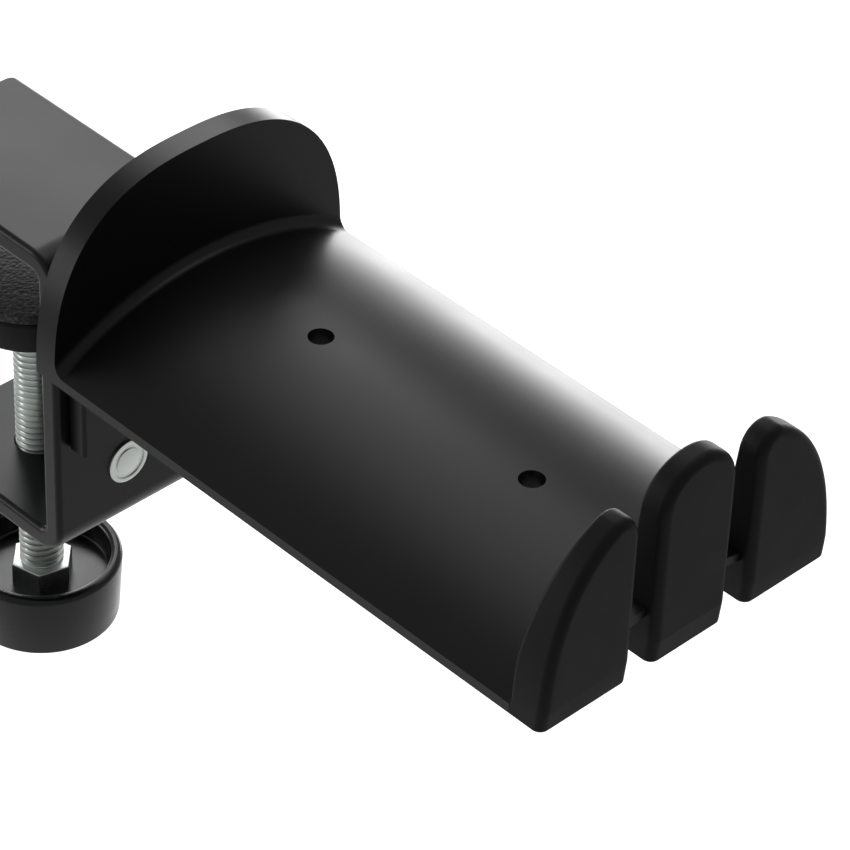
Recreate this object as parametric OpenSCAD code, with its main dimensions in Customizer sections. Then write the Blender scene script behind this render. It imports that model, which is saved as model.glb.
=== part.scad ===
// Headphone hook with a table clamp.
// Origin: on the screw axis, in the face of the upper jaw pad that rests on the table top.
// +X runs along the tray, away from the table; +Z is up; the object is symmetric about Y = 0.

/* [Clamp bracket] */
// Width of the flat steel bar of the clamp
bar_w = 30; // [24:1:40]
// Thickness of the flat steel bar of the clamp
bar_t = 4; // [3:0.5:6]
// Radius of the rounded bar edges
bar_edge_r = 1; // [0.5:0.1:1.4]
// Inside radius of the two bends
bend_r = 1.5; // [1:0.5:4]
// Clear height between the two arms
mouth_h = 53.4; // [44:0.2:70]
// Distance from the screw axis to the inside of the web
throat = 19.8; // [17:0.2:32]
// Length of the upper arm behind the screw axis
upper_reach = 22.4; // [15:0.2:40]
// Length of the lower arm behind the screw axis
lower_reach = 16.2; // [10:0.2:30]
// Corner radius at the free end of each arm
arm_corner_r = 2; // [1:0.5:6]

/* [Upper jaw pad] */
// Thickness of the pad under the upper arm
jaw_pad_t = 1.5; // [1:0.1:3]
// Margin from the bar's edges to the pad
jaw_pad_margin = 3; // [2:0.5:6]

/* [Support bar] */
// Width of the bar that carries the tray
support_w = 25; // [18:1:30]
// Thickness of the bar that carries the tray
support_t = 4; // [3:0.5:5]
// Radius of the rounded edges of the support bar
support_edge_r = 0.7; // [0.3:0.1:1.4]
// Inside radius of its bend
support_bend_r = 1.5; // [1:0.5:3]
// Height of the lower end of its vertical leg above the lower arm's underside
leg_up = 23.2; // [19:0.2:40]
// Length of its horizontal leg in front of the clamp's web
support_reach = 101; // [90:1:104]

/* [Tray] */
// Width of the tray
tray_w = 60; // [50:1:80]
// Length from the back of the rear flange to the front of the caps
tray_l = 111.2; // [105:0.2:150]
// Gap between the clamp's web and the rear flange
tray_gap = 14.3; // [12:0.1:20]
// Thickness of the sheet
sheet_t = 1.5; // [1.2:0.1:2]
// Outside radius of the crown across the tray
crown_r = 56.5; // [50:0.5:80]
// Height of the crown's top above the jaw face
crown_z = 10.6; // [9:0.1:14]
// Height of the rear flange above the tray's lower edges
arch_h = 31.8; // [26:0.2:45]
// Depth of the turned-back rim of the rear flange
rim_d = 4.4; // [3:0.1:6]
// Radius of the fillet between the crown and the flanges
fillet_r = 2; // [1:0.1:2.4]
// Fullness of the arch: 2 is an ellipse, more is squarer
arch_n = 2.55; // [2.2:0.05:3]

/* [Tray holes] */
// Radius of the two holes on the centre line
hole_r = 2.1; // [1.5:0.1:3]
// Distance from the back of the rear flange to the first hole
hole_x = 32.3; // [20:0.1:45]
// Distance between the two holes
hole_pitch = 46; // [30:1:50]

/* [Finger caps] */
// Width of the middle cap
cap_mid_w = 15.2; // [12:0.2:22]
// Gap between neighbouring caps
cap_gap = 4.6; // [4.2:0.1:7]
// Depth of a cap along the tray
cap_d = 6.7; // [6.4:0.1:9]
// Thickness of the rubber in front of and beside a finger
cap_wall = 2; // [1.5:0.1:2.5]
// Height of the caps above the tray's lower edges
cap_h = 34.2; // [28:0.2:48]
// Radius of the upper corners of the middle cap
cap_mid_r = 7; // [4:0.2:7.4]
// Radius of the upper corner of an outer cap, beside its slot
cap_side_r = 4; // [2.5:0.5:6]
// Height of the sloped band at the foot of a cap's front
cap_band_h = 3.9; // [3:0.1:6]
// How far that band slopes back to the foot
cap_slope = 0.4; // [0.2:0.1:1.2]
// How far a cap's back leans forward at its top
cap_taper = 2.4; // [0:0.1:2.4]
// Side clearance between a finger and the pocket in its cap
cap_clear = 0.15; // [0.05:0.05:0.3]

/* [Clamp screw] */
// Radius of the screw over its thread
screw_r = 3.9; // [3:0.1:5]
// Radial clearance of the screw in the lower arm
screw_clear = 0.08; // [0.02:0.01:0.1]
// Gap between the two pads as the clamp stands
jaw_gap = 16.2; // [8:0.2:20]
// Length of the threaded shank, from its shoulder to the hexagon
shank_l = 53.9; // [50:0.1:80]
// Width across the flats of the hexagon
hex_af = 10; // [9:0.5:13]
// Length of the hexagon
hex_l = 8; // [6:0.5:10]

/* [Swivel foot] */
// Radius of the pressure disc
disc_r = 13; // [11:0.5:16]
// Thickness of the pressure disc
disc_t = 5.8; // [5.4:0.1:8]
// Thickness of the pad on the pressure disc
foot_pad_t = 1.6; // [1:0.1:3]
// Radius of the swivel ball
ball_r = 3.4; // [3.2:0.1:3.8]
// Radius of the screw's journal inside the ball
journal_r = 1.5; // [1.2:0.1:1.7]
// Radial clearance of the journal and of the ball
swivel_clear = 0.05; // [0.03:0.01:0.1]
// Height of the ball's centre above the underside of the disc
ball_in = 2.4; // [2.2:0.1:2.8]
// Height of the flat on top of the ball above its centre
ball_flat = 2.2; // [2:0.1:2.4]
// Free height above the ball inside the disc
ball_gap = 0.4; // [0.2:0.1:0.6]
// Gap between the shoulder of the shank and the disc
shoulder_gap = 0.5; // [0.4:0.1:1.5]
// Height of the collar under the ball
collar_h = 1.5; // [1.2:0.1:1.8]
// How far the pad stands in from the edge of the disc
pad_inset = 0.4; // [0:0.1:1]

/* [Knob] */
// Radius at the knob's rim
knob_r = 14.2; // [12:0.1:20]
// Draft of the knob's side, as a loss of radius
knob_draft = 0.7; // [0.2:0.1:1.5]
// Height of the knob
knob_h = 12.9; // [12:0.1:18]
// Width of the knob's round rim
rim_w = 2.3; // [1.8:0.1:3]
// Depth of the recess inside the rim
recess_d = 5; // [3:0.1:5.5]
// Size of the bevel round the knob's underside
knob_bevel = 0.6; // [0.2:0.1:1]
// Height of the rim above the top of the hexagon
rim_over_hex = 1.3; // [0.5:0.1:3]

/* [Badge] */
// Radius of the round badge
badge_r = 4.1; // [3:0.1:6]
// Thickness of the badge
badge_t = 0.4; // [0.3:0.1:1.5]
// Height of the badge's centre above the lower arm's underside
badge_up = 13.8; // [10:0.2:17]

/* [Hidden] */

eps = 0.01;            // overcut that keeps cuts clean
arch_steps = 96;       // straight steps along the arch outline
black = "#1c1c1e";

// clamp
arm_under = jaw_pad_t;                    // underside of the upper arm
low_top = arm_under - mouth_h;            // upper face of the lower arm
low_bottom = low_top - bar_t;
web_in = throat;
web_out = throat + bar_t;

// tray
tray_x = web_out + tray_gap;              // back of the rear flange
front_x = tray_x + tray_l;                // front of the caps
crown_axis_z = crown_z - crown_r;
crown_in_r = crown_r - sheet_t;
edge_z = crown_axis_z + sqrt(crown_in_r * crown_in_r - tray_w * tray_w / 4);
finger_front = front_x - cap_wall;
finger_back = finger_front - sheet_t;
cap_back = front_x - cap_d;
cap_in = tray_w / 2 - cap_wall;           // half-width of the sheet inside the caps
slot_in = cap_mid_w / 2 - cap_wall;       // the slots in the sheet, from the centre line
slot_out = cap_mid_w / 2 + cap_gap + cap_wall;
cap_slot_y = cap_mid_w / 2 + cap_gap;     // slot side of an outer cap
side_cap_top = cap_h * pow(1 - pow((cap_slot_y + cap_side_r) / (tray_w / 2), arch_n), 1 / arch_n);

// support bar
support_top = crown_z - sheet_t;          // underside of the crown on the centre line
support_end = web_out + support_reach;

// screw and foot
foot_top = -jaw_gap;
disc_top = foot_top - foot_pad_t;
disc_bottom = disc_top - disc_t;
ball_z = disc_bottom + ball_in;           // centre of the ball
ball_top = ball_z + ball_flat;            // flat on the ball's top
collar_r = 2.2;                           // collar under the ball
shoulder_z = disc_bottom - shoulder_gap;  // top of the threaded shank
hex_top = shoulder_z - shank_l;
rivet_r = 2.2;                            // riveted end of the journal
rivet_t = 0.6;

// knob
knob_top = hex_top + rim_over_hex;
knob_bottom = knob_top - knob_h;
recess_floor = knob_top - recess_d;

module clamp_bracket() {
    color(black) difference() {
        union() {
            straight_bar(arm_under, web_in - bend_r, -upper_reach);
            straight_bar(low_bottom, web_in - bend_r, -lower_reach);
            web_len = mouth_h - 2 * bend_r;
            translate([web_in, 0, low_top + bend_r]) rotate([0, 0, -90])
                linear_extrude(web_len) bar_section(bar_w, bar_t, bar_edge_r);
            bar_bend(bar_w, bar_t, bar_edge_r, bend_r, [web_in - bend_r, arm_under - bend_r], 0);
            bar_bend(bar_w, bar_t, bar_edge_r, bend_r, [web_in - bend_r, low_top + bend_r], -90);
        }
        translate([0, 0, low_bottom - eps])
            cylinder(r = screw_r + screw_clear, h = bar_t + 2 * eps, $fn = 64);
        arm_corners(-upper_reach, arm_under);
        arm_corners(-lower_reach, low_bottom);
    }
}

// A length of bar along X with its underside at z, from x_hi back to x_lo.
module straight_bar(z, x_hi, x_lo) {
    translate([x_lo, 0, z]) rotate([90, 0, 90])
        linear_extrude(x_hi - x_lo) bar_section(bar_w, bar_t, bar_edge_r);
}

// Section of a flat bar with rounded edges: width along X, thickness upwards from Y = 0.
module bar_section(w, t, r) {
    translate([-w / 2 + r, 0]) square([w - 2 * r, t]);
    translate([-w / 2, r]) square([w, t - 2 * r]);
    for (x = [-w / 2 + r, w / 2 - r], y = [r, t - r]) translate([x, y]) circle(r, $fn = 32);
}

// A right-angle bend in the XZ plane about the point at = [x, z], starting at angle turn.
module bar_bend(w, t, r, inside_r, at, turn) {
    translate([at[0], 0, at[1]]) rotate([90, 0, 0]) rotate([0, 0, turn])
        rotate_extrude(angle = 90, $fn = 96) translate([inside_r, 0]) rotate([0, 0, -90])
            bar_section(w, t, r);
}

// Rounds the two corners at the free end of an arm.
module arm_corners(x, z) {
    for (side = [-1, 1])
        translate([x, side * bar_w / 2, z - eps]) difference() {
            translate([-1, side > 0 ? -arm_corner_r : -1, 0])
                cube([arm_corner_r + 1, arm_corner_r + 1, bar_t + 2 * eps]);
            translate([arm_corner_r, -side * arm_corner_r, -1])
                cylinder(r = arm_corner_r, h = bar_t + 3, $fn = 48);
        }
}

module upper_jaw_pad() {
    l = upper_reach + web_in - bend_r - 2 * jaw_pad_margin;
    color("#2a2a2c") translate([-upper_reach + jaw_pad_margin, -bar_w / 2 + jaw_pad_margin, 0])
        rounded_plate(l, bar_w - 2 * jaw_pad_margin, jaw_pad_t, 2);
}

// A flat plate with four round corners, from the origin along +X and +Y.
module rounded_plate(l, w, t, r) {
    translate([r, 0, 0]) cube([l - 2 * r, w, t]);
    translate([0, r, 0]) cube([l, w - 2 * r, t]);
    for (x = [r, l - r], y = [r, w - r]) translate([x, y, 0]) cylinder(r = r, h = t, $fn = 48);
}

module support_bar() {
    elbow_x = web_out + support_t + support_bend_r;
    elbow_z = support_top - support_t - support_bend_r;
    leg_bottom = low_bottom + leg_up;
    color(black) difference() {
        intersection() {
            union() {
                translate([web_out + support_t, 0, leg_bottom]) rotate([0, 0, 90])
                    linear_extrude(elbow_z - leg_bottom) bar_section(support_w, support_t, support_edge_r);
                translate([elbow_x, 0, support_top - support_t]) rotate([90, 0, 90])
                    linear_extrude(support_end - elbow_x) bar_section(support_w, support_t, support_edge_r);
                bar_bend(support_w, support_t, support_edge_r, support_bend_r, [elbow_x, elbow_z], 90);
            }
            along_x(crown_in_r, web_out - 1, support_end + 1);
        }
        tray_holes(support_top - support_t - 2, support_t + 4);
    }
}

// A cylinder about the crown's axis between two places along X.
module along_x(r, x0, x1) {
    translate([x0, 0, crown_axis_z]) rotate([0, 90, 0]) cylinder(r = r, h = x1 - x0, $fn = 180);
}

module tray_holes(z, h) {
    for (k = [0, 1])
        translate([tray_x + hole_x + k * hole_pitch, 0, z]) cylinder(r = hole_r, h = h, $fn = 48);
}

module headband_tray() {
    color(black) difference() {
        union() {
            crown_sheet();
            rear_flange();
            fingers();
        }
        tray_holes(crown_axis_z + crown_in_r - 5, sheet_t + 10);
    }
}

// The crowned sheet; it steps in by the cap's wall at the front.
module crown_sheet() {
    intersection() {
        difference() {
            along_x(crown_r, tray_x + rim_d - sheet_t, finger_front);
            along_x(crown_in_r, tray_x - 1, front_x + 1);
        }
        union() {
            translate([tray_x, -tray_w / 2, edge_z - 1])
                cube([cap_back - tray_x, tray_w, crown_z - edge_z + 2]);
            translate([tray_x, -cap_in, edge_z - 1])
                cube([tray_l, 2 * cap_in, crown_z - edge_z + 2]);
        }
    }
}

// The rear flange: a wall above the crown with a rim turned back round its edge.
module rear_flange() {
    difference() {
        union() {
            arch_plate(tray_w / 2, arch_h, tray_x + rim_d - sheet_t, sheet_t);
            difference() {
                arch_plate(tray_w / 2, arch_h, tray_x, rim_d);
                arch_plate(tray_w / 2 - sheet_t, arch_h - sheet_t, tray_x - 1, rim_d + 2);
            }
            intersection() {
                fillet_ring(tray_x + rim_d, 1);
                arch_plate(tray_w / 2, arch_h, tray_x, rim_d + fillet_r + 1);
            }
        }
        along_x(crown_in_r, tray_x + rim_d - sheet_t - eps, tray_x + tray_l);
        translate([tray_x - 1, -cap_in - 1, edge_z - 1])
            cube([rim_d + 1 - sheet_t, 2 * cap_in + 2, 1 + eps]);
    }
}

// Arch outline in the YZ plane, standing on the tray's lower edges.
module arch_plate(half_w, h, x, t) {
    translate([x, 0, edge_z]) rotate([90, 0, 90]) linear_extrude(t)
        polygon([for (i = [0 : arch_steps]) arch_point(half_w, h, 180 * i / arch_steps)]);
}

function arch_point(half_w, h, a) =
    [half_w * sign(cos(a)) * pow(abs(cos(a)), 2 / arch_n), h * pow(abs(sin(a)), 2 / arch_n)];

// Concave fillet about the crown's axis; dir is the side of the wall that it fills.
module fillet_ring(x, dir) {
    translate([x, 0, crown_axis_z]) rotate([0, 90, 0])
        rotate_extrude($fn = 180) translate([crown_r - sheet_t / 2, 0]) difference() {
            translate([0, dir > 0 ? -eps : -fillet_r]) square([sheet_t / 2 + fillet_r, fillet_r + eps]);
            translate([sheet_t / 2 + fillet_r, dir * fillet_r]) circle(fillet_r, $fn = 48);
        }
}

// Three fingers: an arch like the rear one, cut by two slots down to the crown.
module fingers() {
    difference() {
        union() {
            difference() {
                arch_plate(cap_in, cap_h - cap_wall, finger_back, sheet_t);
                for (side = [-1, 1]) {
                    corner_cut(side * slot_in, -side, cap_mid_r - cap_wall, cap_h - cap_wall);
                    corner_cut(side * slot_out, side, cap_side_r - cap_wall, side_cap_top - cap_wall);
                }
            }
            intersection() {
                fillet_ring(finger_back, -1);
                arch_plate(cap_in, cap_h - cap_wall, cap_back, cap_d);
            }
        }
        along_x(crown_in_r, cap_back - 1, front_x + 1);
        for (side = [-1, 1]) slot_cut(side);
    }
}

// Rounds the upper corner at y; dir points into the piece, top is its height there.
module corner_cut(y, dir, r, top) {
    translate([cap_back - 1, y, edge_z + top - r]) difference() {
        translate([0, dir > 0 ? -1 : -r, 0]) cube([cap_d + 2, r + 1, r + 3]);
        translate([-1, dir * r, 0]) rotate([0, 90, 0]) cylinder(r = r, h = cap_d + 4, $fn = 64);
    }
}

module slot_cut(side) {
    y0 = side > 0 ? slot_in : -slot_out;
    difference() {
        translate([cap_back - 1, y0, edge_z]) cube([cap_d + 2, slot_out - slot_in, cap_h + 2]);
        along_x(crown_r, cap_back - 2, front_x + 2);
    }
}

// One cap between two places across the tray.
module finger_cap(y0, y1) {
    difference() {
        intersection() {
            arch_plate(tray_w / 2, cap_h, cap_back, cap_d);
            translate([0, y1, edge_z]) rotate([90, 0, 0]) linear_extrude(y1 - y0) cap_side();
        }
        if (y0 * y1 < 0)
            for (side = [-1, 1]) corner_cut(side * cap_mid_w / 2, -side, cap_mid_r, cap_h);
        else
            for (side = [sign(y0 + y1)]) corner_cut(side * cap_slot_y, side, cap_side_r, side_cap_top);
        pocket(max(y0 + cap_wall, -cap_in) - cap_clear, min(y1 - cap_wall, cap_in) + cap_clear);
        intersection() {
            along_x(crown_r, cap_back - 1, finger_front);
            translate([cap_back - 2, -cap_in - cap_clear, edge_z - 1])
                cube([cap_d, 2 * (cap_in + cap_clear), crown_z - edge_z + 2]);
        }
        intersection() {
            fillet_ring(finger_back, -1);
            translate([cap_back - 1, -cap_in, edge_z]) cube([cap_d + 2, 2 * cap_in, cap_h]);
        }
    }
}

// A cap seen from the side: its foot slopes back in front, and its back leans forward.
module cap_side() {
    polygon([[cap_back, -1], [front_x - cap_slope, -1], [front_x - cap_slope, 0], [front_x, cap_band_h],
             [front_x, cap_h + 1], [cap_back + cap_taper, cap_h + 1], [cap_back, crown_z - edge_z]]);
}

// Room for one finger inside its cap.
module pocket(y0, y1) {
    intersection() {
        arch_plate(cap_in + cap_clear, cap_h - cap_wall, finger_back, sheet_t);
        translate([finger_back - 1, y0, edge_z - 1]) cube([sheet_t + 2, y1 - y0, cap_h]);
    }
}

module left_finger_cap() {
    color("#161618") finger_cap(-tray_w / 2 - 1, -cap_slot_y);
}

module middle_finger_cap() {
    color("#161618") finger_cap(-cap_mid_w / 2, cap_mid_w / 2);
}

module right_finger_cap() {
    color("#161618") finger_cap(cap_slot_y, tray_w / 2 + 1);
}

// A plain ringed disc on the web.
module badge() {
    ring_w = 0.8;
    ring_d = 0.15;
    color("silver") translate([web_out, 0, low_bottom + badge_up]) rotate([0, 90, 0]) difference() {
        cylinder(r = badge_r, h = badge_t, $fn = 64);
        translate([0, 0, badge_t - ring_d]) difference() {
            cylinder(r = badge_r - ring_w, h = 1, $fn = 64);
            translate([0, 0, -1]) cylinder(r = badge_r - 2 * ring_w, h = 3, $fn = 64);
        }
    }
}

module clamp_screw() {
    color("silver") {
        translate([0, 0, hex_top]) cylinder(r = screw_r, h = shank_l, $fn = 64);
        translate([0, 0, hex_top - hex_l]) rotate([0, 0, -45])
            cylinder(r = hex_af / 2 / cos(30), h = hex_l, $fn = 6);
        translate([0, 0, shoulder_z])
            cylinder(r = journal_r, h = ball_top - shoulder_z - rivet_t + eps, $fn = 48);
        translate([0, 0, ball_top - rivet_t]) cylinder(r = rivet_r, h = rivet_t, $fn = 48);
    }
}

module swivel_ball() {
    color("gray") difference() {
        union() {
            intersection() {
                translate([0, 0, ball_z]) sphere(ball_r, $fn = 64);
                translate([-ball_r, -ball_r, disc_bottom])
                    cube([2 * ball_r, 2 * ball_r, ball_top - disc_bottom]);
            }
            translate([0, 0, shoulder_z]) cylinder(r = collar_r, h = collar_h, $fn = 48);
        }
        translate([0, 0, shoulder_z - eps]) cylinder(r = journal_r + swivel_clear, h = 2 * ball_r, $fn = 48);
        translate([0, 0, ball_top - rivet_t - swivel_clear])
            cylinder(r = rivet_r + swivel_clear, h = rivet_t + 1, $fn = 48);
    }
}

module pressure_disc() {
    seat_r = ball_r + swivel_clear;
    color(black) difference() {
        translate([0, 0, disc_bottom]) cylinder(r = disc_r, h = disc_t, $fn = 96);
        intersection() {
            translate([0, 0, ball_z]) sphere(seat_r, $fn = 64);
            translate([-seat_r, -seat_r, disc_bottom - 1])
                cube([2 * seat_r, 2 * seat_r, ball_top + ball_gap - disc_bottom + 1]);
        }
    }
}

module foot_pad() {
    color("#2a2a2c") translate([0, 0, disc_top]) cylinder(r = disc_r - pad_inset, h = foot_pad_t, $fn = 96);
}

module knob() {
    lip_r = rim_w / 2;
    inner_r = knob_r - rim_w;
    color("#111113") difference() {
        union() {
            translate([0, 0, knob_bottom]) rotate_extrude($fn = 128)
                polygon([[0, 0], [knob_r - knob_draft - knob_bevel, 0], [knob_r - knob_draft, knob_bevel],
                         [knob_r, knob_h - lip_r], [0, knob_h - lip_r]]);
            translate([0, 0, knob_top - lip_r]) rotate_extrude($fn = 128)
                translate([knob_r - lip_r, 0]) circle(lip_r, $fn = 32);
        }
        translate([0, 0, recess_floor]) cylinder(r = inner_r, h = knob_h, $fn = 96);
        translate([0, 0, hex_top - hex_l]) rotate([0, 0, -45])
            cylinder(r = hex_af / 2 / cos(30), h = hex_l + 1, $fn = 6);
    }
}

clamp_bracket();
support_bar();
headband_tray();
left_finger_cap();
middle_finger_cap();
right_finger_cap();
badge();
upper_jaw_pad();
clamp_screw();
knob();
swivel_ball();
pressure_disc();
foot_pad();
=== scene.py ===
"""Builds the looks of a clamp-on headphone hook round its CAD frame.

The clamp, the support bar and the tray are copies of their CAD shapes with the cut edges
rounded over by the powder coat. The rubber caps and pads, the screw with its real thread,
the knob, the pressure disc and the badge are modelled here, each in the place that the
frame gives. The swivel ball keeps its CAD shape and gets a finish.
"""

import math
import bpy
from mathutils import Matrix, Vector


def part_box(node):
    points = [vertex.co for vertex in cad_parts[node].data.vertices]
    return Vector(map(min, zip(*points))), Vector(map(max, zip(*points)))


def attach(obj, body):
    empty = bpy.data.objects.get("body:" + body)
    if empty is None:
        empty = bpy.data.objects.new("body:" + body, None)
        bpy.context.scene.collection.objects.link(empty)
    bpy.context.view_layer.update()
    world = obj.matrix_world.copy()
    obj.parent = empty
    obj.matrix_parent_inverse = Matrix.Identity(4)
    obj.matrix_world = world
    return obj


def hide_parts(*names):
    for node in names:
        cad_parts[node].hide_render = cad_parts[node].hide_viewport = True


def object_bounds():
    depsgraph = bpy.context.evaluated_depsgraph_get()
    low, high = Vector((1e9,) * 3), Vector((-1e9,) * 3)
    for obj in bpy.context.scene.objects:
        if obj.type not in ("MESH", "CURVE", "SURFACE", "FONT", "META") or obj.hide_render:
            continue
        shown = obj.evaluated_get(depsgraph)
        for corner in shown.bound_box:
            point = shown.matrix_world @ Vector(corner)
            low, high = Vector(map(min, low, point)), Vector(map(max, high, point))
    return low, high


bl_info = {
    "name": "Headphone Hook",
    "version": (1, 0, 0),
    "blender": (4, 5, 0),
    "location": "View3D > Sidebar > Headphone Hook",
    "description": "Builds the looks of a clamp-on headphone hook round its CAD frame",
    "category": "Object",
}

import bmesh
import bpy
from bpy.props import (
    FloatProperty,
    FloatVectorProperty,
    IntProperty,
    PointerProperty,
)
from mathutils import Matrix, Vector

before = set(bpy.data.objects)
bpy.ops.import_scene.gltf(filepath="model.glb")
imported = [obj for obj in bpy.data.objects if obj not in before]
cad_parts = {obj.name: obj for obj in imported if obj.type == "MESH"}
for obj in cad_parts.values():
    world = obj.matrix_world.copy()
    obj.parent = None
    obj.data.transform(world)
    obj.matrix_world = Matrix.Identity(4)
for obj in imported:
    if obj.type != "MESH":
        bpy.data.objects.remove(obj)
CAD_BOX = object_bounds()
MM = 0.001


def linear(hex_colour):
    """An sRGB hex colour as the linear numbers that Blender works in."""
    parts = [int(hex_colour[i : i + 2], 16) / 255 for i in (1, 3, 5)]
    return tuple(c / 12.92 if c <= 0.04045 else ((c + 0.055) / 1.055) ** 2.4 for c in parts)


# Settings


def length(name, description, default):
    return FloatProperty(name=name, description=description, default=default, unit="LENGTH")


def angle(name, description, degrees):
    return FloatProperty(
        name=name, description=description, default=math.radians(degrees), unit="ROTATION"
    )


def colour(name, description, hex_colour):
    return FloatVectorProperty(
        name=name,
        description=description,
        default=linear(hex_colour),
        subtype="COLOR",
        size=3,
        min=0,
        max=1,
    )


class HookSizes(bpy.types.PropertyGroup):
    """Sizes of the details that the looks add to the frame."""

    thread_pitch: length("Thread pitch", "Rise of the clamp screw for one turn", 1.25 * MM)
    thread_depth: length("Thread depth", "From the thread's crest to its root", 0.66 * MM)
    thread_flat: length("Thread flat", "Width of the thread's crest along the axis", 0.175 * MM)
    thread_steps: IntProperty(
        name="Thread steps", description="Straight steps in one turn of thread", default=36
    )
    screw_radius: length("Screw radius", "From the screw's axis to the thread's crest", 3.9 * MM)
    hexagon_flats: length("Hexagon flats", "Width across the hexagon's flats", 10 * MM)
    hexagon_chamfer: length("Hexagon chamfer", "Bevel on the edges of the hexagon", 0.25 * MM)
    rim_over_hexagon: length("Rim over hexagon", "Knob's rim above the hexagon's top", 1.3 * MM)
    shoulder_gap: length("Shoulder gap", "From the shank's shoulder to the disc", 0.5 * MM)
    journal_radius: length("Journal radius", "Radius of the journal inside the ball", 1.5 * MM)
    rivet_radius: length("Rivet radius", "Radius of the journal's riveted end", 2.2 * MM)
    rivet_height: length("Rivet height", "Height of the journal's riveted end", 0.6 * MM)
    rivet_chamfer: length("Rivet chamfer", "Bevel on the riveted end", 0.2 * MM)
    screw_overlap: length("Screw overlap", "How far the screw's lengths run together", 0.2 * MM)
    cap_rounding: length("Cap rounding", "Radius on the caps' front edges", 1.5 * MM)
    cap_band: length("Cap band", "Height of the sloped band at a cap's foot", 3.9 * MM)
    cap_slope: length("Cap slope", "How far that band slopes back to the foot", 0.4 * MM)
    cap_taper: length("Cap taper", "How far a cap's back leans forward at its top", 2.4 * MM)
    cap_back: length("Cap back", "Height above the foot where the back starts to lean", 10.4 * MM)
    cap_back_rounding: length("Cap back rounding", "Radius on the caps' back edges", 0.75 * MM)
    cap_sharp: length("Cap sharp", "Height of back edge left sharp at the tray", 1.5 * MM)
    steel_edge: length("Steel edge", "Radius that the powder coat leaves on cut edges", 0.25 * MM)
    knob_draft: length("Knob draft", "Loss of radius from the knob's rim to its foot", 0.7 * MM)
    knob_rim: length("Knob rim", "Width of the knob's round rim", 2.3 * MM)
    knob_recess: length("Knob recess", "Depth of the recess inside the rim", 5.0 * MM)
    knob_bevel: length("Knob bevel", "Radius on the edge of the knob's underside", 0.7 * MM)
    recess_fillet: length("Recess fillet", "Radius in the corner of the recess", 0.5 * MM)
    disc_rounding: length("Disc rounding", "Radius on the pressure disc's edges", 0.7 * MM)
    pad_rounding: length("Pad rounding", "Radius on the pads' edges", 0.4 * MM)
    ball_centre: length("Ball centre", "From the disc's underside to the ball's centre", 2.4 * MM)
    ball_gap: length("Ball gap", "Free height above the ball in the disc", 0.4 * MM)
    swivel_gap: length("Swivel gap", "Clearance round the ball", 0.05 * MM)
    pad_corner: length("Pad corner", "Radius of the jaw pad's corners", 2 * MM)
    badge_ring: length("Badge ring", "Width of each ring on the badge", 0.8 * MM)
    badge_groove: length("Badge groove", "Depth of the groove in the badge", 0.2 * MM)
    badge_bevel: length("Badge bevel", "Radius on the badge's edges", 0.09 * MM)


class HookFinishes(bpy.types.PropertyGroup):
    """Colours of the finishes."""

    powder_coat: colour("Powder coat", "Black powder coat on the bent steel", "#0A0A0D")
    cap_rubber: colour("Cap rubber", "Moulded rubber of the finger caps", "#0D0D0F")
    pad_rubber: colour("Pad rubber", "Bonded rubber crumb of the two pads", "#1E1E20")
    pad_crumb: colour("Pad crumb", "Paler crumbs in the pads", "#4C4D4E")
    zinc: colour("Zinc", "Zinc plating on the screw", "#E0E6E2")
    turned_steel: colour("Turned steel", "Bare steel of the swivel ball", "#9A9C9E")
    knob_abs: colour("Knob ABS", "Moulded ABS of the knob", "#0E0E0F")
    disc_nylon: colour("Disc nylon", "Moulded nylon of the pressure disc", "#0B0B0C")
    aluminium: colour("Aluminium", "Stamped aluminium of the badge", "#D3D8D4")
    floor: colour("Floor", "Plain pale floor", "#F4F4F4")


class HookStage(bpy.types.PropertyGroup):
    """Where the camera stands and how the light falls."""

    azimuth: angle("Azimuth", "Camera's turn round the object", 44.88)
    elevation: angle("Elevation", "Camera's height above the horizon", 38.4)
    roll: angle("Roll", "Camera's turn about its own axis", 2.44)
    distance: length("Distance", "From the camera to the point it looks at", 0.62)
    lens: FloatProperty(
        name="Lens", description="Focal length of the camera", default=175.1, unit="CAMERA"
    )
    aim: FloatVectorProperty(
        name="Aim",
        description="Point that the camera looks at",
        default=(0.0955, -0.0018, 0.0092),
        subtype="TRANSLATION",
        unit="LENGTH",
    )
    floor_gap: length("Floor gap", "Height of the object above the floor", 0.5)


# Modelling


def deselect():
    if bpy.context.object and bpy.context.object.mode != "OBJECT":
        bpy.ops.object.mode_set(mode="OBJECT")
    bpy.ops.object.select_all(action="DESELECT")


def only(obj):
    """Makes obj the one selected and active object."""
    deselect()
    obj.select_set(True)
    bpy.context.view_layer.objects.active = obj


def edit(obj):
    only(obj)
    bpy.ops.object.mode_set(mode="EDIT")


def pick(obj, kind, test):
    """Selects the vertices, edges or faces of the mesh in edit mode that pass the test."""
    bpy.ops.mesh.select_mode(type=kind)
    bpy.ops.mesh.select_all(action="DESELECT")
    mesh = bmesh.from_edit_mesh(obj.data)
    for item in {"VERT": mesh.verts, "EDGE": mesh.edges, "FACE": mesh.faces}[kind]:
        if test(item):
            item.select_set(True)
    bmesh.update_edit_mesh(obj.data)


def edge_at(z):
    """A test for edges that lie level at height z."""
    return lambda e: all(abs(v.co.z - z) < 0.05 * MM for v in e.verts)


def bevel(offset, segments=5):
    bpy.ops.mesh.bevel(offset=offset, segments=segments, profile=0.5, affect="EDGES")


def extrude(x=0, y=0, z=0):
    bpy.ops.mesh.extrude_region_move(TRANSFORM_OT_translate={"value": (x, y, z)})


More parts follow.
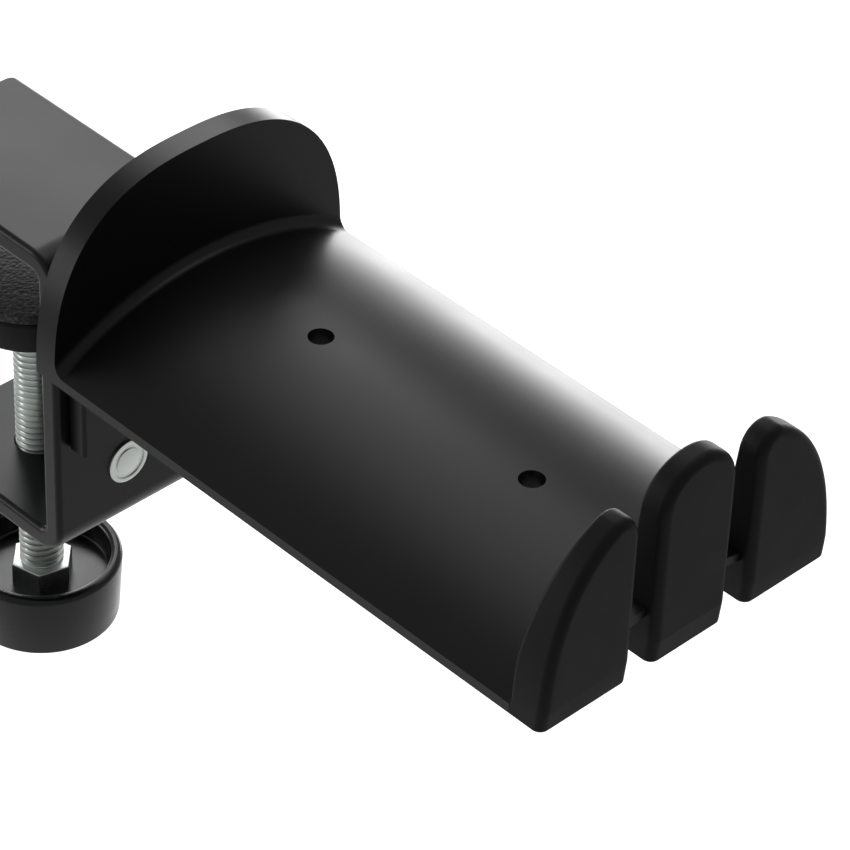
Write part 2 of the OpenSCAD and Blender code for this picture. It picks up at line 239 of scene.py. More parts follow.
def cap_outline(points):
    """A flat closed outline in the YZ plane from corner, left-handle and right-handle points."""
    deselect()
    bpy.ops.curve.primitive_bezier_curve_add(
        location=(0, 0, 0), rotation=(math.radians(90), 0, math.radians(90))
    )
    obj = bpy.context.object
    line = obj.data
    line.dimensions = "2D"
    line.fill_mode = "NONE"
    line.resolution_u = 40
    spline = line.splines[0]
    spline.bezier_points.add(len(points) - 2)
    for point, (at, left, right) in zip(spline.bezier_points, points):
        point.handle_left_type = "FREE" if left else "VECTOR"
        point.handle_right_type = "FREE" if right else "VECTOR"
        point.co = (at[0], at[1], 0)
        if left:
            point.handle_left = (left[0], left[1], 0)
        if right:
            point.handle_right = (right[0], right[1], 0)
    spline.use_cyclic_u = True
    bpy.ops.object.convert(target="MESH")
    bpy.ops.object.transform_apply(location=True, rotation=True, scale=True)
    return bpy.context.object


def circle(radius, z, sides=128):
    """A filled circle about the screw's axis, in edit mode."""
    deselect()
    bpy.ops.mesh.primitive_circle_add(
        vertices=sides, radius=radius, fill_type="NGON", location=(0, 0, z)
    )
    obj = bpy.context.object
    bpy.ops.object.transform_apply(location=True, rotation=True, scale=True)
    bpy.ops.object.mode_set(mode="EDIT")
    bpy.ops.mesh.select_all(action="SELECT")
    return obj


def cylinder(radius, z0, z1, sides=64, turn=0, chamfer=0):
    """A closed cylinder about the screw's axis from z0 to z1, with chamfered ends."""
    deselect()
    bpy.ops.mesh.primitive_cylinder_add(
        vertices=sides,
        radius=radius,
        depth=z1 - z0,
        location=(0, 0, (z0 + z1) / 2),
        rotation=(0, 0, turn),
    )
    obj = bpy.context.object
    bpy.ops.object.transform_apply(location=True, rotation=True, scale=True)
    if chamfer:
        edit(obj)
        pick(obj, "EDGE", lambda e: edge_at(z0)(e) or edge_at(z1)(e))
        bevel(chamfer, 3)
        deselect()
    return obj


def hexagon_bar(sizes, z0, z1, chamfer=0):
    """The hexagon under the screw's shank, as a bar from z0 to z1."""
    radius = sizes.hexagon_flats / 2 / math.cos(math.radians(30))
    return cylinder(radius, z0, z1, sides=6, turn=math.radians(-15), chamfer=chamfer)


def cut(obj, cutter, keep_cutter=False):
    """Takes the cutter's volume out of obj."""
    only(obj)
    taken = obj.modifiers.new("Cut", "BOOLEAN")
    taken.operation = "DIFFERENCE"
    taken.solver = "MANIFOLD"
    taken.object = cutter
    bpy.ops.object.modifier_apply(modifier=taken.name)
    if not keep_cutter:
        bpy.data.objects.remove(cutter)


def finish_piece(obj, name, body, nodes, material, smooth=32):
    """Closes and names a piece, puts it on its body and gives it its finish."""
    edit(obj)
    bpy.ops.mesh.select_all(action="SELECT")
    bpy.ops.mesh.remove_doubles(threshold=0.002 * MM)
    bpy.ops.mesh.normals_make_consistent(inside=False)
    deselect()
    only(obj)
    bpy.ops.object.transform_apply(location=True, rotation=True, scale=True)
    bpy.ops.object.shade_smooth_by_angle(angle=math.radians(smooth))
    obj.name = obj.data.name = name
    obj.data.materials.clear()
    obj.data.materials.append(material)
    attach(obj, body)
    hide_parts(*nodes)
    return obj


def flatten(obj):
    """Keeps large faces flat and leaves the turn of the shading to the small ones."""
    only(obj)
    weighted = obj.modifiers.new("Flat faces", "WEIGHTED_NORMAL")
    weighted.keep_sharp = True
    bpy.ops.object.modifier_apply(modifier=weighted.name)


def merged_copy(node_name):
    """A closed copy of a CAD node's mesh, to coat or to cut with."""
    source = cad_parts[node_name]
    deselect()
    obj = bpy.data.objects.new(node_name + "_copy", source.data.copy())
    bpy.context.scene.collection.objects.link(obj)
    edit(obj)
    bpy.ops.mesh.select_all(action="SELECT")
    bpy.ops.mesh.remove_doubles(threshold=0.001 * MM)
    deselect()
    return obj


# Finishes


def new_material(name):
    """A material with nothing in it but a Principled shader, its output and the position."""
    made = bpy.data.materials.new(name)
    made.use_nodes = True
    tree = made.node_tree
    tree.nodes.clear()
    shader = node(tree, "ShaderNodeBsdfPrincipled")
    node(tree, "ShaderNodeOutputMaterial", {"Surface": shader.outputs["BSDF"]})
    position = node(tree, "ShaderNodeTexCoord").outputs["Object"]
    return made, tree, shader, position


def node(tree, kind, inputs=None, **settings):
    """Adds a node with its settings; each input is a value or the output it is linked to."""
    made = tree.nodes.new(kind)
    for key, value in settings.items():
        setattr(made, key, value)
    for key, value in (inputs or {}).items():
        if isinstance(value, bpy.types.NodeSocket):
            tree.links.new(value, made.inputs[key])
        else:
            made.inputs[key].default_value = value
    return made


def with_alpha(rgb):
    return (*rgb, 1.0)


def powder_coated_steel(colours):
    """Thermoset powder coat, baked on bent steel: a satin skin with a fine orange peel."""
    made, tree, shader, position = new_material("Powder-coated steel, satin black")
    # The film flows into soft dimples about 0.9 mm apart, with a finer grit of 0.2 mm on them.
    peel = node(tree, "ShaderNodeTexNoise", {"Vector": position, "Scale": 1100, "Detail": 2})
    grit = node(tree, "ShaderNodeTexNoise", {"Vector": position, "Scale": 5200, "Detail": 1})
    soft = node(
        tree,
        "ShaderNodeBump",
        {"Height": peel.outputs["Fac"], "Strength": 0.05, "Distance": 0.05 * MM},
    )
    fine = node(
        tree,
        "ShaderNodeBump",
        {
            "Height": grit.outputs["Fac"],
            "Normal": soft.outputs["Normal"],
            "Strength": 0.08,
            "Distance": 0.02 * MM,
        },
    )
    # The gloss drifts a little over some 20 mm, as the film does in the oven.
    drift = node(tree, "ShaderNodeTexNoise", {"Vector": position, "Scale": 50, "Detail": 3})
    gloss = node(
        tree,
        "ShaderNodeMapRange",
        {"Value": drift.outputs["Fac"], "To Min": 0.30, "To Max": 0.40},
    )
    shader.inputs["Base Color"].default_value = with_alpha(colours.powder_coat)
    shader.inputs["IOR"].default_value = 1.5
    shader.inputs["Specular IOR Level"].default_value = 0.22
    tree.links.new(gloss.outputs["Result"], shader.inputs["Roughness"])
    tree.links.new(fine.outputs["Normal"], shader.inputs["Normal"])
    return made


def moulded_rubber(colours):
    """Compression-moulded rubber: dull, with the mould's spark grain and a faint bloom."""
    made, tree, shader, position = new_material("Moulded rubber, matt black")
    # Spark grain about 0.25 mm across.
    grain = node(tree, "ShaderNodeTexNoise", {"Vector": position, "Scale": 4000, "Detail": 3})
    bump = node(
        tree,
        "ShaderNodeBump",
        {"Height": grain.outputs["Fac"], "Strength": 0.22, "Distance": 0.04 * MM},
    )
    # Bloom and handling leave soft paler clouds 5 to 10 mm across.
    cloud = node(
        tree,
        "ShaderNodeTexNoise",
        {"Vector": position, "Scale": 140, "Detail": 4, "Roughness": 0.6},
    )
    tone = node(
        tree,
        "ShaderNodeMix",
        {
            "Factor": cloud.outputs["Fac"],
            "A": with_alpha([c * 0.75 for c in colours.cap_rubber]),
            "B": with_alpha([c * 1.35 for c in colours.cap_rubber]),
        },
        data_type="RGBA",
    )
    dull = node(
        tree,
        "ShaderNodeMapRange",
        {"Value": cloud.outputs["Fac"], "To Min": 0.50, "To Max": 0.62},
    )
    tree.links.new(mixed(tone), shader.inputs["Base Color"])
    tree.links.new(dull.outputs["Result"], shader.inputs["Roughness"])
    tree.links.new(bump.outputs["Normal"], shader.inputs["Normal"])
    shader.inputs["IOR"].default_value = 1.5
    shader.inputs["Specular IOR Level"].default_value = 0.15
    return made


def mixed(mix):
    """The colour output of a Mix node."""
    return next(s for s in mix.outputs if s.type == "RGBA")


def rubber_crumb(colours):
    """Rubber crumb bonded into sheet: grains under a millimetre, a few of them paler."""
    made, tree, shader, position = new_material("Bonded rubber crumb, dark grey")
    # Crumbs of 0.7 mm.
    crumb = node(
        tree, "ShaderNodeTexVoronoi", {"Vector": position, "Scale": 1400}, feature="F1"
    )
    pale = node(
        tree,
        "ShaderNodeMapRange",
        {"Value": crumb.outputs["Color"], "From Min": 0.62, "From Max": 0.95},
    )
    tone = node(
        tree,
        "ShaderNodeMix",
        {
            "Factor": pale.outputs["Result"],
            "A": with_alpha(colours.pad_rubber),
            "B": with_alpha(colours.pad_crumb),
        },
        data_type="RGBA",
    )
    pits = node(tree, "ShaderNodeTexNoise", {"Vector": position, "Scale": 2600, "Detail": 4})
    rough = node(
        tree,
        "ShaderNodeBump",
        {"Height": crumb.outputs["Distance"], "Strength": 0.8, "Distance": 0.25 * MM},
        invert=True,
    )
    both = node(
        tree,
        "ShaderNodeBump",
        {
            "Height": pits.outputs["Fac"],
            "Normal": rough.outputs["Normal"],
            "Strength": 0.5,
            "Distance": 0.1 * MM,
        },
    )
    tree.links.new(mixed(tone), shader.inputs["Base Color"])
    tree.links.new(both.outputs["Normal"], shader.inputs["Normal"])
    shader.inputs["Roughness"].default_value = 0.68
    shader.inputs["IOR"].default_value = 1.5
    return made


def zinc_plated_steel(colours):
    """Rolled and zinc-plated steel: bright, cool and a little cloudy."""
    made, tree, shader, position = new_material("Zinc-plated steel, bright")
    # Plating clouds 2 mm across, and draw lines round the thread 0.15 mm apart.
    cloud = node(tree, "ShaderNodeTexNoise", {"Vector": position, "Scale": 500, "Detail": 4})
    lines = node(
        tree,
        "ShaderNodeMapping",
        {"Vector": position, "Scale": (400, 400, 6500)},
    )
    streak = node(
        tree, "ShaderNodeTexNoise", {"Vector": lines.outputs["Vector"], "Scale": 1, "Detail": 2}
    )
    gloss = node(
        tree,
        "ShaderNodeMapRange",
        {"Value": cloud.outputs["Fac"], "To Min": 0.26, "To Max": 0.42},
    )
    tone = node(
        tree,
        "ShaderNodeMix",
        {
            "Factor": cloud.outputs["Fac"],
            "A": with_alpha([c * 0.86 for c in colours.zinc]),
            "B": with_alpha(colours.zinc),
        },
        data_type="RGBA",
    )
    bump = node(
        tree,
        "ShaderNodeBump",
        {"Height": streak.outputs["Fac"], "Strength": 0.12, "Distance": 0.03 * MM},
    )
    shader.inputs["Metallic"].default_value = 1
    tree.links.new(mixed(tone), shader.inputs["Base Color"])
    tree.links.new(gloss.outputs["Result"], shader.inputs["Roughness"])
    tree.links.new(bump.outputs["Normal"], shader.inputs["Normal"])
    return made


def turned_steel(colours):
    """Steel turned on a lathe: grey, with tool marks round its axis."""
    made, tree, shader, position = new_material("Turned steel, bare")
    marks = node(
        tree,
        "ShaderNodeTexWave",
        {"Vector": position, "Scale": 900, "Distortion": 0.6, "Detail": 1},
        bands_direction="Z",
    )
    bump = node(
        tree,
        "ShaderNodeBump",
        {"Height": marks.outputs["Fac"], "Strength": 0.2, "Distance": 0.03 * MM},
    )
    shader.inputs["Base Color"].default_value = with_alpha(colours.turned_steel)
    shader.inputs["Metallic"].default_value = 1
    shader.inputs["Roughness"].default_value = 0.35
    tree.links.new(bump.outputs["Normal"], shader.inputs["Normal"])
    return made


def moulded_abs(colours):
    """Injection-moulded ABS from a polished tool: glossy, with rubs from hands."""
    made, tree, shader, position = new_material("Moulded ABS, glossy black")
    # Rubs run round the knob's side, some 0.4 mm wide.
    rub = node(tree, "ShaderNodeMapping", {"Vector": position, "Scale": (90, 90, 2400)})
    streak = node(
        tree, "ShaderNodeTexNoise", {"Vector": rub.outputs["Vector"], "Scale": 1, "Detail": 4}
    )
    gloss = node(
        tree,
        "ShaderNodeMapRange",
        {"Value": streak.outputs["Fac"], "To Min": 0.16, "To Max": 0.34},
    )
    sink = node(tree, "ShaderNodeTexNoise", {"Vector": position, "Scale": 220, "Detail": 1})
    bump = node(
        tree,
        "ShaderNodeBump",
        {"Height": sink.outputs["Fac"], "Strength": 0.06, "Distance": 0.05 * MM},
    )
    shader.inputs["Base Color"].default_value = with_alpha(colours.knob_abs)
    shader.inputs["IOR"].default_value = 1.53
    shader.inputs["Specular IOR Level"].default_value = 0.3
    tree.links.new(gloss.outputs["Result"], shader.inputs["Roughness"])
    tree.links.new(bump.outputs["Normal"], shader.inputs["Normal"])
    return made


def moulded_nylon(colours):
    """Injection-moulded nylon: black, with a dry half-gloss and a fine leathery grain."""
    made, tree, shader, position = new_material("Moulded nylon, half-gloss black")
    grain = node(
        tree, "ShaderNodeTexVoronoi", {"Vector": position, "Scale": 2500}, feature="SMOOTH_F1"
    )
    bump = node(
        tree,
        "ShaderNodeBump",
        {"Height": grain.outputs["Distance"], "Strength": 0.12, "Distance": 0.05 * MM},
    )
    drift = node(tree, "ShaderNodeTexNoise", {"Vector": position, "Scale": 200, "Detail": 3})
    gloss = node(
        tree,
        "ShaderNodeMapRange",
        {"Value": drift.outputs["Fac"], "To Min": 0.36, "To Max": 0.48},
    )
    shader.inputs["Base Color"].default_value = with_alpha(colours.disc_nylon)
    shader.inputs["IOR"].default_value = 1.53
    shader.inputs["Specular IOR Level"].default_value = 0.2
    tree.links.new(gloss.outputs["Result"], shader.inputs["Roughness"])
    tree.links.new(bump.outputs["Normal"], shader.inputs["Normal"])
    return made


def stamped_aluminium(colours):
    """Aluminium stamped and brushed one way: pale, with hairlines along Y."""
    made, tree, shader, position = new_material("Stamped aluminium, brushed")
    hair = node(tree, "ShaderNodeMapping", {"Vector": position, "Scale": (1, 300, 9000)})
    line = node(
        tree, "ShaderNodeTexNoise", {"Vector": hair.outputs["Vector"], "Scale": 1, "Detail": 3}
    )
    gloss = node(
        tree,
        "ShaderNodeMapRange",
        {"Value": line.outputs["Fac"], "To Min": 0.28, "To Max": 0.46},
    )
    bump = node(
        tree,
        "ShaderNodeBump",
        {"Height": line.outputs["Fac"], "Strength": 0.15, "Distance": 0.02 * MM},
    )
    shader.inputs["Base Color"].default_value = with_alpha(colours.aluminium)
    shader.inputs["Metallic"].default_value = 1
    tree.links.new(gloss.outputs["Result"], shader.inputs["Roughness"])
    tree.links.new(bump.outputs["Normal"], shader.inputs["Normal"])
    return made


# Pieces


class HOOK_OT_metalwork(bpy.types.Operator):
    """Rounds and coats the clamp, support bar and tray, and finishes the swivel ball"""

    bl_idname = "hook.metalwork"
    bl_label = "Metalwork"

    def execute(self, context):
        powder = powder_coated_steel(context.scene.hook_finishes)
        for node_name, piece_name in (
            ("clamp_bracket", "coated_clamp"),
            ("support_bar", "coated_support"),
            ("headband_tray", "coated_tray"),
        ):
            self.coat(node_name, piece_name, powder, context.scene.hook_sizes.steel_edge)
        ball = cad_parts["swivel_ball"].data
        ball.materials.clear()
        ball.materials.append(turned_steel(context.scene.hook_finishes))
        return {"FINISHED"}

    def coat(self, node_name, piece_name, powder, radius):
        """The coated shape of a bent part: its CAD shape with the cut edges rounded over."""
        obj = merged_copy(node_name)
        edit(obj)
        bpy.ops.mesh.select_all(action="SELECT")
        bpy.ops.mesh.dissolve_limited(angle_limit=math.radians(0.2))
        only(obj)
        bpy.ops.mesh.customdata_custom_splitnormals_clear()
        rounded = obj.modifiers.new("Coated edges", "BEVEL")
        rounded.limit_method = "ANGLE"
        rounded.angle_limit = math.radians(50)
        rounded.width = radius
        rounded.segments = 3
        bpy.ops.object.modifier_apply(modifier=rounded.name)
        finish_piece(obj, piece_name, "holder", [node_name], powder)
        flatten(obj)


class HOOK_OT_finger_caps(bpy.types.Operator):
    """Moulds the three rubber caps round the tray's fingers"""

    bl_idname = "hook.finger_caps"
    bl_label = "Finger Caps"

    CROWN_START = 0.783  # share of the middle cap's height where its top starts to round
    HANDLE = 0.56  # handles of a quarter round, as a share of its radius
    SHOULDER = 0.26  # share of an outer cap's width from its slot to its highest part

    def execute(self, context):
        sizes = context.scene.hook_sizes
        rubber = moulded_rubber(context.scene.hook_finishes)
        core = merged_copy("headband_tray")
        low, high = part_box("middle_finger_cap")
        foot, top, half = low.z, high.z, high.y
        crown = foot + (top - foot) * self.CROWN_START
        handle = half * self.HANDLE
        # Each point has its place and, where the outline curves, its left and right handles.
        middle = [
            ((-half, foot), None, None),
            ((-half, crown), None, (-half, crown + handle)),
            ((0, top), (-handle, top), (handle, top)),
            ((half, crown), (half, crown + handle), None),
            ((half, foot), None, None),
        ]
        self.mould(sizes, rubber, core, middle, "middle_finger_cap")
        low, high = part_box("right_finger_cap")
        foot, top, wide = low.z, high.z, high.y - low.y
        for side, name in ((1, "right_finger_cap"), (-1, "left_finger_cap")):
            slot = side * low.y
            outer = side * high.y
            shoulder = slot + side * wide * self.SHOULDER
            outline = [
                ((slot, foot), None, None),
                ((slot, top - 4.5 * MM), None, (slot, top - 1.6 * MM)),
                (
                    (shoulder, top - 0.4 * MM),
                    (shoulder - side * 2.6 * MM, top + 0.5 * MM),
                    (shoulder + side * 6.6 * MM, top - 3.8 * MM),
                ),
                ((outer, foot), (outer, foot + 19 * MM), None),
            ]
            self.mould(sizes, rubber, core, outline, name)
        bpy.data.objects.remove(core)
        return {"FINISHED"}

    def mould(self, sizes, rubber, core, outline, name):
        """One cap from its outline, hollowed by the tray's fingers."""
        low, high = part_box(name)
        obj = cap_outline(outline)
        edit(obj)
        bpy.ops.mesh.select_all(action="SELECT")
        bpy.ops.mesh.remove_doubles(threshold=0.01 * MM)
        bpy.ops.mesh.edge_face_add()
        bpy.ops.transform.translate(value=(low.x, 0, 0))
        extrude(x=high.x - low.x)
        bpy.ops.mesh.select_all(action="SELECT")
        bpy.ops.mesh.normals_make_consistent(inside=False)
        band = low.z + sizes.cap_band
        lean = low.z + sizes.cap_back
        # The foot slopes back in front, and the back leans forward above the tray.
        for point, outward in (
            ((high.x, 0, band), (sizes.cap_band, 0, -sizes.cap_slope)),
            ((low.x, 0, lean), (lean - high.z, 0, sizes.cap_taper)),
        ):
            bpy.ops.mesh.select_all(action="SELECT")
            bpy.ops.mesh.bisect(
                plane_co=point,
                plane_no=Vector(outward).normalized(),
                use_fill=True,
                clear_outer=True,
            )

        pick(obj, "EDGE", lambda e: self.on_rim(e, 1))
        bevel(sizes.cap_rounding, 6)
        sharp = low.z + sizes.cap_sharp
        pick(obj, "EDGE", lambda e: self.on_rim(e, -1) and min(v.co.z for v in e.verts) > sharp)
        bevel(sizes.cap_back_rounding, 4)
        cut(obj, core, keep_cutter=True)
        edit(obj)
        pick(obj, "EDGE", edge_at(band))
        bpy.ops.mesh.mark_sharp()
        finish_piece(
            obj, name.replace("finger_cap", "rubber_cap"), "holder", [name], rubber
        )
        flatten(obj)

    def on_rim(self, edge, facing):
        """True between a side wall and the front (facing 1) or the back (facing -1)."""
        if len(edge.link_faces) != 2:
            return False
        wall, end = sorted(edge.link_faces, key=lambda f: facing * f.normal.x)
        underside = wall.normal.z <= -0.9
        return facing * end.normal.x > 0.7 and abs(wall.normal.x) < 0.3 and not underside


class HOOK_OT_clamp_screw(bpy.types.Operator):
    """Cuts the clamp screw with its right-hand thread, hexagon and riveted journal"""

    bl_idname = "hook.clamp_screw"
    bl_label = "Clamp Screw"

    def execute(self, context):
        sizes = context.scene.hook_sizes
        zinc = zinc_plated_steel(context.scene.hook_finishes)
        low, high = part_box("clamp_screw")
        hexagon_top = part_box("knob")[1].z - sizes.rim_over_hexagon
        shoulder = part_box("pressure_disc")[0].z - sizes.shoulder_gap
        pitch, depth = sizes.thread_pitch, sizes.thread_depth
        root = sizes.screw_radius - depth
        start = hexagon_top - 2 * pitch
        flank = depth * math.tan(math.radians(30))
        flat = sizes.thread_flat

        bpy.ops.mesh.primitive_plane_add(size=pitch, location=(root, 0, start))
        screw = bpy.context.object
        bpy.ops.object.transform_apply(location=True, rotation=True, scale=True)
        edit(screw)
        bpy.ops.mesh.select_all(action="SELECT")
        bpy.ops.mesh.merge(type="CENTER")
        bpy.ops.mesh.select_mode(type="VERT")
        bpy.ops.mesh.select_all(action="SELECT")
        for step in ((depth, flank), (0, flat), (-depth, flank), (0, pitch - flat - 2 * flank)):
            bpy.ops.mesh.extrude_vertices_move(
                TRANSFORM_OT_translate={"value": (step[0], 0, step[1])}
            )
        deselect()
        only(screw)
        turns = screw.modifiers.new("Turns", "SCREW")
        turns.axis = "Z"
        turns.angle = 2 * math.pi
        turns.screw_offset = pitch
        turns.iterations = math.ceil((shoulder - start) / pitch) + 2
        turns.steps = turns.render_steps = sizes.thread_steps
        turns.use_merge_vertices = True
        turns.merge_threshold = 0.001 * MM
        bpy.ops.object.modifier_apply(modifier=turns.name)
        edit(screw)
        bpy.ops.mesh.select_all(action="SELECT")
        bpy.ops.mesh.remove_doubles(threshold=0.001 * MM)
        bpy.ops.mesh.bisect(
            plane_co=(0, 0, shoulder), plane_no=(0, 0, 1), use_fill=True, clear_outer=True
        )
        bpy.ops.mesh.select_all(action="SELECT")
        bpy.ops.mesh.bisect(
            plane_co=(0, 0, hexagon_top - sizes.screw_overlap),
            plane_no=(0, 0, 1),
            use_fill=True,
            clear_inner=True,
        )
        hexagon = hexagon_bar(sizes, low.z, hexagon_top, sizes.hexagon_chamfer)
        journal = cylinder(
            sizes.journal_radius,
            shoulder - sizes.screw_overlap,
            high.z - sizes.rivet_height / 2,
            sides=48,
        )
        rivet = cylinder(
            sizes.rivet_radius,
            high.z - sizes.rivet_height,
            high.z,
            sides=48,
            chamfer=sizes.rivet_chamfer,
        )
        only(screw)
        for part in (hexagon, journal, rivet):
            part.select_set(True)
        bpy.ops.object.join()
        finish_piece(
            screw, "threaded_clamp_screw", "screw", ["clamp_screw"], zinc
        )
        return {"FINISHED"}


class HOOK_OT_knob(bpy.types.Operator):
    """Turns the knob with its round rim, recess and hexagon socket"""

    bl_idname = "hook.knob"
    bl_label = "Knob"

    def execute(self, context):
        sizes = context.scene.hook_sizes
        abs_black = moulded_abs(context.scene.hook_finishes)
        low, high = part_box("knob")
        radius = high.x
        lip = sizes.knob_rim / 2
        obj = circle(radius - sizes.knob_draft, low.z)
        extrude(z=high.z - lip - low.z)
        grow = radius / (radius - sizes.knob_draft)
        bpy.ops.transform.resize(value=(grow, grow, 1))
        extrude(z=lip)
        bpy.ops.mesh.inset(thickness=sizes.knob_rim)
        floor = high.z - sizes.knob_recess
        extrude(z=-sizes.knob_recess)
        bpy.ops.mesh.select_all(action="SELECT")
        bpy.ops.mesh.normals_make_consistent(inside=False)
        pick(obj, "EDGE", edge_at(high.z))
        bevel(lip * 0.97, 8)
        pick(obj, "EDGE", edge_at(low.z))
        bevel(sizes.knob_bevel, 4)
        pick(obj, "EDGE", edge_at(floor))
        bevel(sizes.recess_fillet, 4)
        deselect()
        screw_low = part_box("clamp_screw")[0].z
        socket = hexagon_bar(sizes, screw_low, high.z + MM)
        cut(obj, socket)
        finish_piece(obj, "moulded_knob", "screw", ["knob"], abs_black, smooth=40)
        return {"FINISHED"}


class HOOK_OT_foot(bpy.types.Operator):
    """Moulds the pressure disc round its ball socket and lays the rubber pad on it"""

    bl_idname = "hook.foot"
    bl_label = "Pressure Foot"

    def execute(self, context):
        sizes = context.scene.hook_sizes
        finishes = context.scene.hook_finishes
        low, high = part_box("pressure_disc")
        disc = circle(high.x, low.z)
        extrude(z=high.z - low.z)
        bpy.ops.mesh.select_all(action="SELECT")
        bpy.ops.mesh.normals_make_consistent(inside=False)
        pick(disc, "EDGE", lambda e: edge_at(low.z)(e) or edge_at(high.z)(e))
        bevel(sizes.disc_rounding, 5)
        deselect()
        ball_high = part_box("swivel_ball")[1]
        bpy.ops.mesh.primitive_uv_sphere_add(
            segments=64,
            ring_count=48,
            radius=ball_high.x + sizes.swivel_gap,
            location=(0, 0, low.z + sizes.ball_centre),
        )
        socket = bpy.context.object
        bpy.ops.object.transform_apply(location=True, rotation=True, scale=True)
        edit(socket)
        bpy.ops.mesh.select_all(action="SELECT")
        bpy.ops.mesh.bisect(
            plane_co=(0, 0, ball_high.z + sizes.ball_gap),
            plane_no=(0, 0, 1),
            use_fill=True,
            clear_outer=True,
        )
        cut(disc, socket)
        finish_piece(
            disc, "moulded_disc", "foot", ["pressure_disc"], moulded_nylon(finishes)
        )
        crumb = rubber_crumb(finishes)
        low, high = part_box("foot_pad")
        pad = circle(high.x, low.z)
        extrude(z=high.z - low.z)
        bpy.ops.mesh.select_all(action="SELECT")
        bpy.ops.mesh.normals_make_consistent(inside=False)
        pick(pad, "EDGE", edge_at(high.z))
        bevel(sizes.pad_rounding, 4)
        finish_piece(pad, "crumb_pad_on_disc", "foot", ["foot_pad"], crumb)
        return {"FINISHED"}


class HOOK_OT_jaw_pad(bpy.types.Operator):
    """Cuts the rubber pad under the upper arm"""

    bl_idname = "hook.jaw_pad"
    bl_label = "Jaw Pad"

    def execute(self, context):
        sizes = context.scene.hook_sizes
        crumb = bpy.data.materials.get("Bonded rubber crumb, dark grey") or rubber_crumb(
            context.scene.hook_finishes
        )
        low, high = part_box("upper_jaw_pad")
        deselect()
        bpy.ops.mesh.primitive_cube_add(size=1, location=(low + high) / 2, scale=high - low)
        pad = bpy.context.object
        bpy.ops.object.transform_apply(location=True, rotation=True, scale=True)
        edit(pad)
        pick(pad, "EDGE", lambda e: abs(e.verts[0].co.z - e.verts[1].co.z) > 0.5 * MM)
        bevel(sizes.pad_corner, 8)
        pick(pad, "EDGE", edge_at(low.z))
        bevel(sizes.pad_rounding, 4)
        finish_piece(pad, "crumb_pad_on_jaw", "holder", ["upper_jaw_pad"], crumb)
        return {"FINISHED"}


class HOOK_OT_badge(bpy.types.Operator):
    """Stamps the plain ringed badge on the clamp's web"""

    bl_idname = "hook.badge"
    bl_label = "Badge"

    def execute(self, context):
        sizes = context.scene.hook_sizes
        low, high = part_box("badge")
        thick = high.x - low.x
        badge = circle(high.y, 0, sides=96)
        extrude(z=thick)
        for step in (-sizes.badge_groove, sizes.badge_groove):
            bpy.ops.mesh.inset(thickness=sizes.badge_ring)
            extrude(z=step)
        bpy.ops.mesh.select_all(action="SELECT")
        bpy.ops.mesh.normals_make_consistent(inside=False)
        pick(badge, "EDGE", edge_at(thick))
        bevel(sizes.badge_bevel, 3)
        deselect()
        only(badge)
        badge.matrix_world = Matrix.Translation((low.x, 0, (low.z + high.z) / 2)) @ Matrix.Rotation(
            math.radians(90), 4, "Y"
        )
        bpy.ops.object.transform_apply(location=True, rotation=True, scale=True)
        finish_piece(
            badge,
            "ringed_badge",
            "holder",
            ["badge"],
            stamped_aluminium(context.scene.hook_finishes),
        )
        return {"FINISHED"}


def softbox(name, location, target, width, height, power):
    """A soft rectangular lamp that faces the target."""
    lamp = bpy.data.lights.new(name, "AREA")
    lamp.shape = "RECTANGLE"
    lamp.size, lamp.size_y, lamp.energy = width, height, power
    obj = bpy.data.objects.new(name, lamp)
    bpy.context.scene.collection.objects.link(obj)
    obj.visible_camera = False
    obj.location = location
    obj.rotation_euler = (Vector(target) - Vector(location)).to_track_quat("-Z", "Y").to_euler()
    return obj


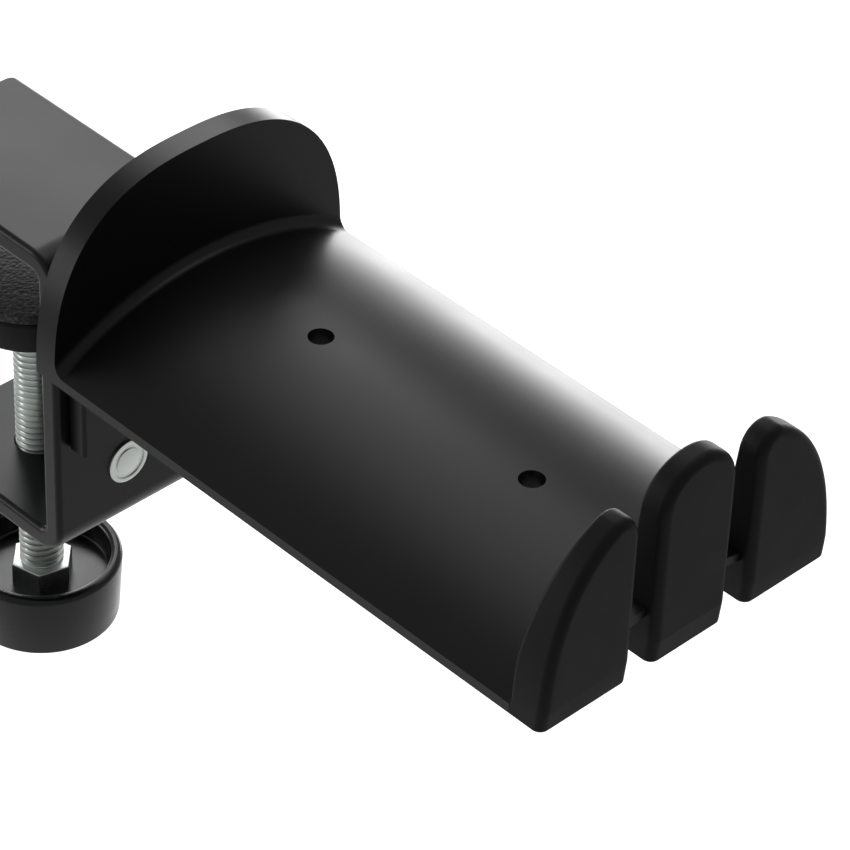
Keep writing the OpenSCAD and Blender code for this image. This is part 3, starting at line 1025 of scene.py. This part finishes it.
class HOOK_OT_stage(bpy.types.Operator):
    """Sets the pale floor, the soft studio light and the camera"""

    bl_idname = "hook.stage"
    bl_label = "Stage"

    def execute(self, context):
        stage = context.scene.hook_stage
        low, high = CAD_BOX
        deselect()
        bpy.ops.mesh.primitive_plane_add(size=8, location=(0, 0, low.z - stage.floor_gap))
        floor = bpy.context.object
        floor.name = "studio_floor"
        paint, tree, shader, position = new_material("Matt studio floor")
        mottle = node(tree, "ShaderNodeTexNoise", {"Vector": position, "Scale": 3, "Detail": 2})
        rough = node(
            tree,
            "ShaderNodeMapRange",
            {"Value": mottle.outputs["Fac"], "To Min": 0.85, "To Max": 0.95},
        )
        tree.links.new(rough.outputs["Result"], shader.inputs["Roughness"])
        shader.inputs["Base Color"].default_value = with_alpha(context.scene.hook_finishes.floor)
        floor.data.materials.append(paint)

        world = bpy.data.worlds.new("Studio")
        context.scene.world = world
        world.use_nodes = True
        back = world.node_tree.nodes["Background"]
        back.inputs["Color"].default_value = (1, 1, 1, 1)
        back.inputs["Strength"].default_value = 0.4
        middle = (low + high) / 2
        for name, offset, width, height, power in (
            ("Overhead softbox", (-0.25, 0.35, 0.9), 0.9, 0.7, 3.0),
            ("Rear softbox", (-0.9, 1.1, -0.14), 1.4, 0.5, 15.5),
            ("Clamp softbox", (-0.42, 0.3, 0.33), 0.22, 0.22, 0.8),
            ("Front fill", (-0.35, -0.9, 0.15), 0.6, 0.6, 0.3),
            ("Side softbox", (-0.75, -0.5, 0.08), 0.45, 0.45, 3.0),
        ):
            softbox(name, middle + Vector(offset), middle, width, height, power)
        ground = Vector((-0.4, 0.45, low.z - stage.floor_gap))
        softbox("Floor softbox", middle + Vector((-0.7, 0.2, -0.08)), ground, 0.6, 0.6, 2.5)

        turn, rise, roll = stage.azimuth, stage.elevation, stage.roll
        out = Vector(
            (
                math.sin(turn) * math.cos(rise),
                -math.cos(turn) * math.cos(rise),
                math.sin(rise),
            )
        )
        level = Vector((math.cos(turn), math.sin(turn), 0))
        right = level * math.cos(roll) + out.cross(level) * math.sin(roll)
        up = out.cross(right)
        camera = bpy.data.objects.new("Camera", bpy.data.cameras.new("Camera"))
        context.scene.collection.objects.link(camera)
        camera.data.lens = stage.lens
        camera.data.clip_start, camera.data.clip_end = 0.05, 20
        camera.matrix_world = Matrix.Translation(
            Vector(stage.aim) + out * stage.distance
        ) @ Matrix(
            (right, up, out)
        ).transposed().to_4x4()
        context.scene.camera = camera
        context.scene.view_settings.view_transform = "Standard"
        return {"FINISHED"}


PIECES = (
    HOOK_OT_metalwork,
    HOOK_OT_finger_caps,
    HOOK_OT_clamp_screw,
    HOOK_OT_knob,
    HOOK_OT_foot,
    HOOK_OT_jaw_pad,
    HOOK_OT_badge,
    HOOK_OT_stage,
)


class HOOK_PT_panel(bpy.types.Panel):
    """Buttons for the hook's pieces and its stage, over their sizes and colours"""

    bl_idname = "HOOK_PT_panel"
    bl_label = "Headphone Hook"
    bl_space_type = "VIEW_3D"
    bl_region_type = "UI"
    bl_category = "Headphone Hook"

    def draw(self, context):
        for piece in PIECES:
            self.layout.operator(piece.bl_idname)
        for group in ("hook_sizes", "hook_finishes", "hook_stage"):
            box = self.layout.box()
            settings = getattr(context.scene, group)
            for name in settings.bl_rna.properties.keys():
                if name not in ("rna_type", "name"):
                    box.prop(settings, name)


GROUPS = {"hook_sizes": HookSizes, "hook_finishes": HookFinishes, "hook_stage": HookStage}


def register():
    for cls in (*GROUPS.values(), *PIECES, HOOK_PT_panel):
        bpy.utils.register_class(cls)
    for name, group in GROUPS.items():
        setattr(bpy.types.Scene, name, PointerProperty(type=group))


def unregister():
    for name in GROUPS:
        delattr(bpy.types.Scene, name)
    for cls in reversed((*GROUPS.values(), *PIECES, HOOK_PT_panel)):
        bpy.utils.unregister_class(cls)


def main():
    register()
    for piece in PIECES:
        getattr(bpy.ops.hook, piece.bl_idname.split(".")[1])()


if __name__ == "__main__":
    main()
